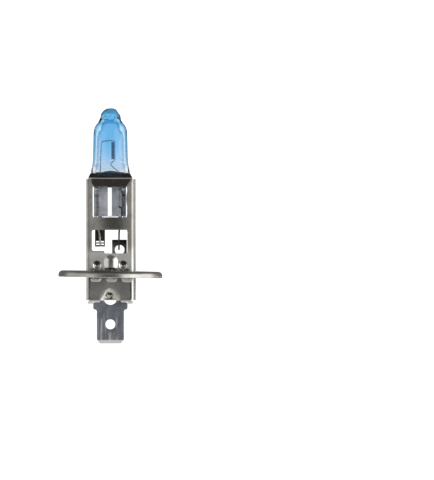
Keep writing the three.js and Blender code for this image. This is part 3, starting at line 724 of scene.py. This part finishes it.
def foil(node):
    low, high = NODE_BOX[node]
    columns, rows = 14, 26
    bottom, top = low.z - 0.55, high.z + 0.3
    low, high = low.copy(), high.copy()
    low.x, high.x = (-3.82, high.x + 0.06) if low.x < 0 else (low.x + 0.06, 3.58)
    vertices, faces = [], []
    for side in (-1, 1):
        for j in range(rows + 1):
            for i in range(columns + 1):
                x = low.x + (high.x - low.x) * i / columns
                foot = bottom - 0.35 * smoothstep(2.3, 2.9, abs(x))
                z = foot + (top - foot) * j / rows
                rise = 0.05 * noise.noise(Vector((x * 1.3, 0, z * 0.9)))
                feather = 0.035 * (1 - abs(2 * i / columns - 1) ** 4) + 0.004
                vertices.append((x, rise + side * feather, z))
    width = columns + 1
    back = width * (rows + 1)
    for j in range(rows):
        for i in range(columns):
            a = j * width + i
            faces.append((a, a + 1, a + 1 + width, a + width))
            faces.append((back + a + width, back + a + 1 + width, back + a + 1, back + a))
    rim = [*range(columns), *(columns + width * j for j in range(rows)),
           *(width * rows + i for i in range(columns, 0, -1)), *(width * j for j in range(rows, 0, -1))]
    for a, b in zip(rim, rim[1:] + rim[:1]):
        faces.append((b, a, back + a, back + b))
    return new_mesh(node, vertices, faces)


piece("seal_foil_left", foil("foil_left"), BRIGHT_FOIL, "molybdenum", "foil_left")
piece("seal_foil_right", foil("foil_right"), SHADED_FOIL, "molybdenum", "foil_right")

lead("ground_lead", [(-2.5, 0, 14.9), (-2.75, 0, 14.0), (-2.85, 0, 12.3), (-2.9, -0.05, 11.0), (-2.8, -0.15, 9.7),
                     (-2.55, -0.2, 8.6), (-2.48, -0.2, 8.0)], 0.22, WELD, "molybdenum", "outer_lead_ground")
lead("live_lead", [(2.1, 0, 14.9), (2.62, 0, 14.6), (2.72, 0, 13.6), (2.66, 0, 12.3), (2.3, -0.8, 10.8), (2.08, -1.6, 9.2),
                   (2.03, -1.64, 7.0),
                   (2.03, -1.64, 4.95)], 0.21, OXIDISED, "molybdenum", "outer_lead_live")


def weld_slug():
    def thickness(share):
        bead = 0.11 * math.exp(-((share - 0.16) / 0.12) ** 2)
        return 0.23 + bead - 0.07 * smoothstep(0.8, 1.0, share)
    line = catmull([(-2.5, -0.2, 7.95), (-2.44, -0.2, 7.4), (-2.38, -0.2, 6.6), (-2.28, -0.2, 5.75)], 10)
    return new_mesh("weld_slug", *tube(line, thickness, 20))


piece("ground_weld", weld_slug(), WELD, "plated", "ground_weld_slug")


# ---- strips and springs ----
def ground_tab():
    low, high = NODE_BOX["ground_tab"]
    sheet = 0.3
    y, wall = low.y + sheet / 2, high.y - sheet / 2
    line = rounded([(wall, high.z), (wall, 11.0, 0.4), (y, 9.9, 0.4), (y, low.z)], True)
    strip = extruded([ribbon(line, sheet)], low.x, high.x, "side", 0.05)
    for z in (6.6, 6.0):
        slot_shape = rounded([(low.x + 0.25, z, 0.12), (high.x - 0.25, z, 0.12), (high.x - 0.25, z + 0.3, 0.12),
                              (low.x + 0.25, z + 0.3, 0.12)])
        strip = combined(strip, extruded([slot_shape], y - 1, y + 1, "front"), "DIFFERENCE")
    return strip


piece("earth_tab", ground_tab(), DARK_SHEET, "strip", "ground_tab")


def contact_strip():
    low, high = NODE_BOX["contact_strip"]
    sheet = 0.4
    y = low.y + sheet / 2
    line = rounded([(y + 0.9, high.z - sheet / 2), (y, high.z - sheet / 2, 0.6), (y, low.z)], True)
    strip = extruded([ribbon(line, sheet)], low.x, high.x, "side", 0.06)
    hole = extruded([circle(STRIP_HOLE_X, STRIP_HOLE_Z, STRIP_HOLE)], y - 1, y + 0.6, "front")
    return combined(strip, hole, "DIFFERENCE")


piece("live_strip", contact_strip(), DARK_SHEET, "strip", "contact_strip")

for side, bow in ((-1, 4.5), (1, 3.86)):
    node = "pinch_spring_left" if side < 0 else "pinch_spring_right"
    low, high = NODE_BOX[node]
    wall = max(abs(low.x), abs(high.x)) - 0.125
    line = []
    for k in range(25):
        t = k / 24
        x = (1 - 2 * t * (1 - t)) * wall + 2 * t * (1 - t) * (2 * bow - wall)
        line.append(Vector((side * x, low.z + (high.z - low.z) * t)))
    piece(node + "_leaf", extruded([ribbon(line, 0.25)], low.y, high.y, "front", 0.05), DARK_SHEET, "strip", node)


# ---- sleeve ----
def pressed(x, z, bottom):
    """How far the wall is pushed in at a point, in millimetres. A bulge is negative."""
    depth = 0.0
    for px, pz in PUNCHES:
        depth += PUNCH_DEPTH * (1 - smoothstep(PUNCH_FLOOR, PUNCH_MOUTH, math.hypot(x - px, z - pz)))
    above = max(0.0, z - (RIDGE_TOP - RIDGE_HALF))
    across = math.hypot(x - RIDGE_X, above) / RIDGE_HALF
    if across < 1 and z > RIDGE_BOTTOM:
        depth -= RIDGE_RISE * smoothstep(RIDGE_BOTTOM, RIDGE_BOTTOM + 0.5, z) * (1 - across ** 2) ** 0.75
    down = (STAKE_TOP - z) / (STAKE_TOP - bottom)
    if down > -0.3:
        half = STAKE_HALF * (0.3 + 0.7 * max(down, 0.0)) * smoothstep(-0.3, 0.25, down)
        flank = 0.8 if x < 0 else 1.3
        depth += STAKE_DEPTH * (0.45 + 0.55 * down) * smoothstep(0.0, flank, half - abs(x)) * smoothstep(-0.3, 0.3, down)
    inside = (smoothstep(PANEL_LEFT - 0.12, PANEL_LEFT + 0.12, x) * smoothstep(PANEL_RIGHT + 0.12, PANEL_RIGHT - 0.12, x)
              if z < PANEL_TOP else 0.0)
    depth += PANEL_DEPTH * inside * smoothstep(PANEL_BOTTOM - 0.12, PANEL_BOTTOM + 0.12, z)
    return depth


def sleeve():
    low, high = NODE_BOX["sleeve"]
    half_width, bottom = -low.x, low.z
    half_depth = 4.1
    top = high.z - SHOULDER_BELOW_TOP - 0.1
    x, y = half_width - SHEET / 2, half_depth - SHEET / 2
    lap = half_width + SEAM_GAP + SHEET / 2
    corners = rounded([(x, y - 1.1), (x, -y, FRONT_RIGHT_BEND), (-x, -y, TIGHT_BEND), (-x, y, BEND), (lap, y, BEND),
                       (lap, -y + 0.9)], True, 10)
    path = []
    for a, b in zip(corners, corners[1:]):
        wide = abs(b.x - a.x) > 3
        steps = max(1, round((b - a).length / (0.14 if wide else 1.2)))
        path += [a.lerp(b, k / steps) for k in range(steps)]
    path.append(corners[-1])
    fine = [bottom + 0.14 * k for k in range(int((4.1 - bottom) / 0.14) + 1)]
    levels = fine + [4.6, 6, 8, 10, 12, 14, 16, 18, 20, top]
    vertices, faces = [], []
    for z in levels:
        for p in path:
            on_front, on_rear = p.y < -y + 0.01, p.y > y - 0.01
            push = pressed(p.x, z, bottom) if on_front or on_rear else 0.0
            vertices.append((p.x, p.y + (push if on_front else -push if on_rear else 0), z))
    width = len(path)
    for j in range(len(levels) - 1):
        for i in range(width - 1):
            a = j * width + i
            faces.append((a, a + 1, a + 1 + width, a + width))
    wall = as_object(new_mesh("sleeve", vertices, faces))
    thick = wall.modifiers.new("thickness", "SOLIDIFY")
    thick.thickness, thick.offset, thick.use_even_offset = SHEET * MM, 0, True
    mesh = baked(wall)
    work = bmesh.new()
    work.from_mesh(mesh)
    end = -y + 0.9 + 0.01
    upright = [e for e in work.edges if all(v.co.x > 5.55 * MM and v.co.y < end * MM for v in e.verts)
               and abs(e.verts[0].co.z - e.verts[1].co.z) > 0.05 * MM]
    bmesh.ops.bevel(work, geom=upright, offset=0.17 * MM, segments=3, profile=0.5, affect="EDGES")
    work.to_mesh(mesh)
    work.free()

    shoulder = high.z - 1.0
    line = rounded([(-y, top - 0.7), (-y, shoulder - 0.12, 0.25), (-y + COLLAR_REACH, high.z - 0.13)], True)
    tab = extruded([ribbon(line, SHEET)], -6, 6, "side")
    outline = [Vector(p) for p in ((-COLLAR_BASE, top - 2), (COLLAR_BASE, top - 2), (COLLAR_BASE, shoulder),
                                   (COLLAR_TIP, high.z + 0.3), (-COLLAR_TIP, high.z + 0.3), (-COLLAR_BASE, shoulder))]
    tab = bevelled(combined(tab, extruded([outline], -8, 0, "front"), "INTERSECT"), 0.06)
    rear = tab.copy()
    rear.transform(Matrix.Scale(-1, 4, (0, 1, 0)))
    rear.flip_normals()
    for collar in (tab, rear):
        mesh = combined(mesh, collar, "UNION")

    for margin, near, far in ((0, -half_depth - 2, -half_depth + 1), (REAR_MARGIN, half_depth - 1, half_depth + 2)):
        r = WINDOW_CORNER
        left, right, low_z, high_z = UPPER_LEFT - margin, UPPER_RIGHT + margin, UPPER_BOTTOM - margin, UPPER_TOP + margin
        upper = rounded([(left, low_z, r), (right, low_z, r), (right, high_z, r), (left, high_z, r)])
        left, right, high_z = LOWER_LEFT - margin, LOWER_RIGHT + margin, LOWER_TOP + margin
        foot_left, foot_right = LOWER_FOOT_LEFT - margin, LOWER_FOOT_RIGHT - margin
        lower = rounded([(left, foot_left, r), (LOWER_STEP, foot_left, r / 2), (LOWER_STEP, foot_right, r / 2),
                         (right, foot_right, r), (right, high_z, r), (left, high_z, r)])
        for shape in (upper, lower):
            mesh = combined(mesh, extruded([shape], near, far, "front"), "DIFFERENCE")
    return bevelled(mesh, 0.05, 2, 55)


piece("sleeve_sheet", sleeve(), PLATED, "plated", "sleeve")


# ---- insulator ----
def insulator(node):
    low, high = NODE_BOX[node]
    half, foot = 4.88, high.x
    rest = NODE_BOX["sleeve"][0].z - OPENING_GAP
    outline = rounded([
        (-half, high.z, 0.2), (-half, rest, 0.1), (-foot, rest, 0.1), (-foot, low.z, 0.15), (-4.05, low.z, 0.1),
        (-4.05, low.z + 0.39, 0.1), (-2.75, low.z + 0.39, 0.1), (-2.2, low.z + 0.88, 0.2), (2.2, low.z + 0.88, 0.2),
        (2.75, low.z + 0.39, 0.1), (4.05, low.z + 0.39, 0.1), (4.05, low.z, 0.1), (foot, low.z, 0.15), (foot, rest, 0.1),
        (half, rest, 0.1), (half, high.z, 0.2),
    ])
    front = abs(low.y) > abs(high.y)
    outer = low.y if front else high.y
    inner = math.copysign(0.7, outer)
    body = extruded([outline], min(outer, inner), max(outer, inner), "front", 0.08)
    notch = bpy.data.meshes.new("notch")
    work = bmesh.new()
    bmesh.ops.create_uvsphere(work, u_segments=32, v_segments=20, radius=1)
    work.transform(Matrix.Translation((0, math.copysign(4.1, outer) * MM, (low.z + 0.83) * MM))
                   @ Matrix.Diagonal(((STAKE_HALF + 0.7) * MM, (STAKE_DEPTH + PUNCH_DEPTH + 0.65) * MM,
                                      3.6 * MM, 1)))
    work.to_mesh(notch)
    work.free()
    body = combined(body, notch, "DIFFERENCE")
    for x, z in PUNCHES[:2]:
        pocket = extruded([circle(x, z, PUNCH_MOUTH + 0.45)], *sorted((
            math.copysign(5, outer), math.copysign(4.1 - PUNCH_DEPTH - SHEET - 0.3, outer))), "front")
        body = combined(body, pocket, "DIFFERENCE")
    if front:
        channel = extruded([rounded([(0.1, -4.5), (4.15, -4.5), (4.15, 5), (0.1, 5)])], -1.4, 0, "front")
        body = combined(body, channel, "DIFFERENCE")
    return body


for node in ("insulator_front", "insulator_rear"):
    piece(node + "_body", insulator(node), steatite(), "ceramic", node)


# ---- flange ----
def flange():
    low, high = NODE_BOX["flange"]
    radius, rim = high.x - 0.03, 1.5
    skirt = FLANGE_SHEET * 0.9
    section = rounded([
        (3, 0), (radius, 0, FLANGE_EDGE), (radius, -rim, 0.16), (radius - skirt, -rim, 0.16),
        (radius - skirt, -FLANGE_SHEET, 0.35), (3, -FLANGE_SHEET),
    ], steps=8)
    body = lathe([(p.x, p.y) for p in reversed(section)], 160)
    flat = extruded([[Vector(p) for p in ((-20, high.y), (20, high.y), (20, 20), (-20, 20))]], -5, 5, "top")
    body = combined(body, flat, "DIFFERENCE")
    sleeve_low, sleeve_high = NODE_BOX["sleeve"]
    gap, depth = OPENING_GAP, 4.1 + OPENING_GAP
    opening = rounded([(sleeve_low.x - gap, -depth, 0.9), (sleeve_high.x + gap, -depth, 0.9),
                       (sleeve_high.x + gap, depth, 0.9), (sleeve_low.x - gap, depth, 0.9)])
    body = combined(body, extruded([opening], -5, 5, "top"), "DIFFERENCE")
    y = -depth - TONGUE_SHEET / 2
    start = -TONGUE_SHEET / 2 - 0.08
    line = rounded([(y - 1.4, start), (y, start, 0.5), (y, low.z)], True)
    for centre in TONGUE_CENTRES:
        half = TONGUE_WIDTH / 2
        blank = extruded([ribbon(line, TONGUE_SHEET)], centre - half, centre + half, "side")
        shape = rounded([(centre - half, 1), (centre - half, low.z, 0.7), (centre + half, low.z, 0.7), (centre + half, 1)])
        blank = combined(blank, extruded([shape], -9, -2, "front"), "INTERSECT")
        rear = blank.copy()
        rear.transform(Matrix.Scale(-1, 4, (0, 1, 0)))
        rear.flip_normals()
        body = combined(combined(body, blank, "UNION"), rear, "UNION")
    body = bevelled(body, 0.06)
    for x, z in ((-3.75, -2.0), (-2.95, -1.95), (-0.25, -2.0), (0.4, -2.05), (1.0, -2.0), (3.6, -1.95), (4.45, -2.0)):
        dent = extruded([circle(x, z, 0.2, 20)], y - TONGUE_SHEET, y - 0.06, "front")
        body = combined(body, dent, "DIFFERENCE")
    pivot = Matrix.Translation((-radius * MM, 0, 0))
    body.transform(Matrix.Translation((0.01 * MM, 0, 0.1 * MM)) @ pivot
                   @ Matrix.Rotation(math.radians(FLANGE_TILT), 4, "Y") @ pivot.inverted())
    return body


piece("prefocus_flange", flange(), FLANGE_METAL, "plated", "flange")


# ---- blade ----
def terminal_blade():
    low, high = NODE_BOX["terminal_blade"]
    shoulder, thick = high.x, high.y
    half, tip_half = 3.175, 2.45
    tip, shoulder_top, shoulder_bottom, neck = low.z, -7.4, -9.1, 2.35
    right = [(tip_half, tip, 0.1), (half, tip + 0.95, 0.15), (half, shoulder_bottom, 0.5), (shoulder, shoulder_bottom, 0.4),
             (shoulder, shoulder_top, 0.45), (neck, shoulder_top, 0.5), (neck, high.z, 0.4)]
    outline = rounded(right + [(-x, z, r) for x, z, r in reversed(right)])
    body = extruded([outline, circle(0, EYE_Z, EYE, 56), circle(0, HOLE_Z, HOLE, 48)], -thick, thick, "front", 0.07, 3)
    for side in (-1, 1):
        wedge = [Vector((side * thick, tip + 0.85)), Vector((side * (thick + 1), tip + 0.85)),
                 Vector((side * (thick + 1), tip - 1)), Vector((side * thick * 0.5, tip - 0.01))]
        body = combined(body, extruded([wedge], -6, 6, "side"), "DIFFERENCE")
    return body


piece("contact_blade", terminal_blade(), BLADE_METAL, "blade", "terminal_blade")


# ---- stage ----
def floor():
    mesh = bpy.data.meshes.new("floor")
    work = bmesh.new()
    bmesh.ops.create_circle(work, cap_ends=True, radius=6.0, segments=96)
    work.to_mesh(mesh)
    work.free()
    t = Tree("pale_floor")
    soft = t.noise(0.02, 2.0)
    t.set(Base_Color=t.mix(soft, (0.66, 0.66, 0.66), (0.7, 0.7, 0.7)), Roughness=0.8)
    mesh.materials.append(t.material)
    made = as_object(mesh, "floor")
    made.location.z = -0.4
    made.visible_glossy = False


floor()


BACKDROP = 1.25  # over-exposed white


def studio():
    """White surround for the lens and for what shows through the quartz; the metal sees a softer studio that is
    dark overhead and towards the lens, dim on the left and bright on the right."""
    world = bpy.data.worlds.new("studio")
    bpy.context.scene.world = world
    world.use_nodes = True
    nodes, links = world.node_tree.nodes, world.node_tree.links
    background = nodes["Background"]
    place = nodes.new("ShaderNodeTexCoord")
    split = nodes.new("ShaderNodeSeparateXYZ")
    links.new(place.outputs["Generated"], split.inputs[0])
    level = None
    for axis, start, end, value in (
        ("X", -0.25, -0.6, 0.7), ("X", 0.3, 0.65, 1.7), ("Y", 0.2, 0.6, 0.2),
        ("Z", -0.45, -0.85, 1.0), ("Z", 0.4, 0.75, 0.2), ("Y", -0.88, -0.97, 0.12),
    ):
        ranged = nodes.new("ShaderNodeMapRange")
        ranged.interpolation_type = "SMOOTHSTEP"
        links.new(split.outputs[axis], ranged.inputs["Value"])
        ranged.inputs["From Min"].default_value, ranged.inputs["From Max"].default_value = start, end
        mixed = nodes.new("ShaderNodeMix")
        links.new(ranged.outputs[0], mixed.inputs[0])
        if level is None:
            mixed.inputs[2].default_value = 0.35
        else:
            links.new(level, mixed.inputs[2])
        mixed.inputs[3].default_value = value
        level = mixed.outputs[0]
    paths = nodes.new("ShaderNodeLightPath")
    through = nodes.new("ShaderNodeMath")
    through.operation = "SUBTRACT"
    through.use_clamp = True
    links.new(paths.outputs["Is Glossy Ray"], through.inputs[0])
    links.new(paths.outputs["Is Transmission Ray"], through.inputs[1])
    choice = nodes.new("ShaderNodeMix")
    links.new(through.outputs[0], choice.inputs[0])
    choice.inputs[2].default_value = BACKDROP
    links.new(level, choice.inputs[3])
    links.new(choice.outputs[0], background.inputs["Strength"])
    background.inputs["Color"].default_value = (1, 1, 1, 1)
    world.cycles.sampling_method = "NONE"


def strip_light(name, azimuth, radiance, width, height, only=None):
    """A tall soft box that the lens doesn't see. azimuth is in degrees from the lens towards the right."""
    data = bpy.data.lights.new(name, "AREA")
    data.shape, data.size, data.size_y = "RECTANGLE", width, height
    data.energy = radiance * math.pi * width * height
    light = bpy.data.objects.new(name, data)
    bpy.context.scene.collection.objects.link(light)
    angle = math.radians(azimuth)
    light.location = (0.5 * math.sin(angle), -0.5 * math.cos(angle), 0.02)
    light.rotation_euler = (-light.location).to_track_quat("-Z", "Z").to_euler()
    light.visible_camera = False
    light.visible_transmission = False
    if only:
        lit = bpy.data.collections.new(name + "_lit")
        lit.objects.link(only)
        light.light_linking.receiver_collection = lit


studio()
for azimuth, radiance, width in ((-86, 2.6, 0.1), (88, 2.2, 0.1), (-50, 0.4, 0.25)):
    strip_light("soft_box", azimuth, radiance, width, 0.5, GLASS)

# ---- camera: straight on, from far away ----
VIEW_HEIGHT, AIM_X, AIM_Z, DISTANCE = 112.15, 24.91, 7.15, 1600.0  # millimetres
camera = bpy.data.objects.new("camera", bpy.data.cameras.new("camera"))
bpy.context.scene.collection.objects.link(camera)
camera.data.lens = camera.data.sensor_width * DISTANCE / VIEW_HEIGHT
camera.data.clip_start, camera.data.clip_end = 0.05, 50.0
camera.location = (AIM_X * MM, -DISTANCE * MM, AIM_Z * MM)
camera.rotation_euler = (math.pi / 2, 0, 0)
bpy.context.scene.camera = camera
bpy.context.scene.view_settings.view_transform = "Standard"
bpy.context.scene.cycles.use_denoising = True
bpy.context.scene.cycles.transmission_bounces = 16
bpy.context.scene.cycles.max_bounces = 20
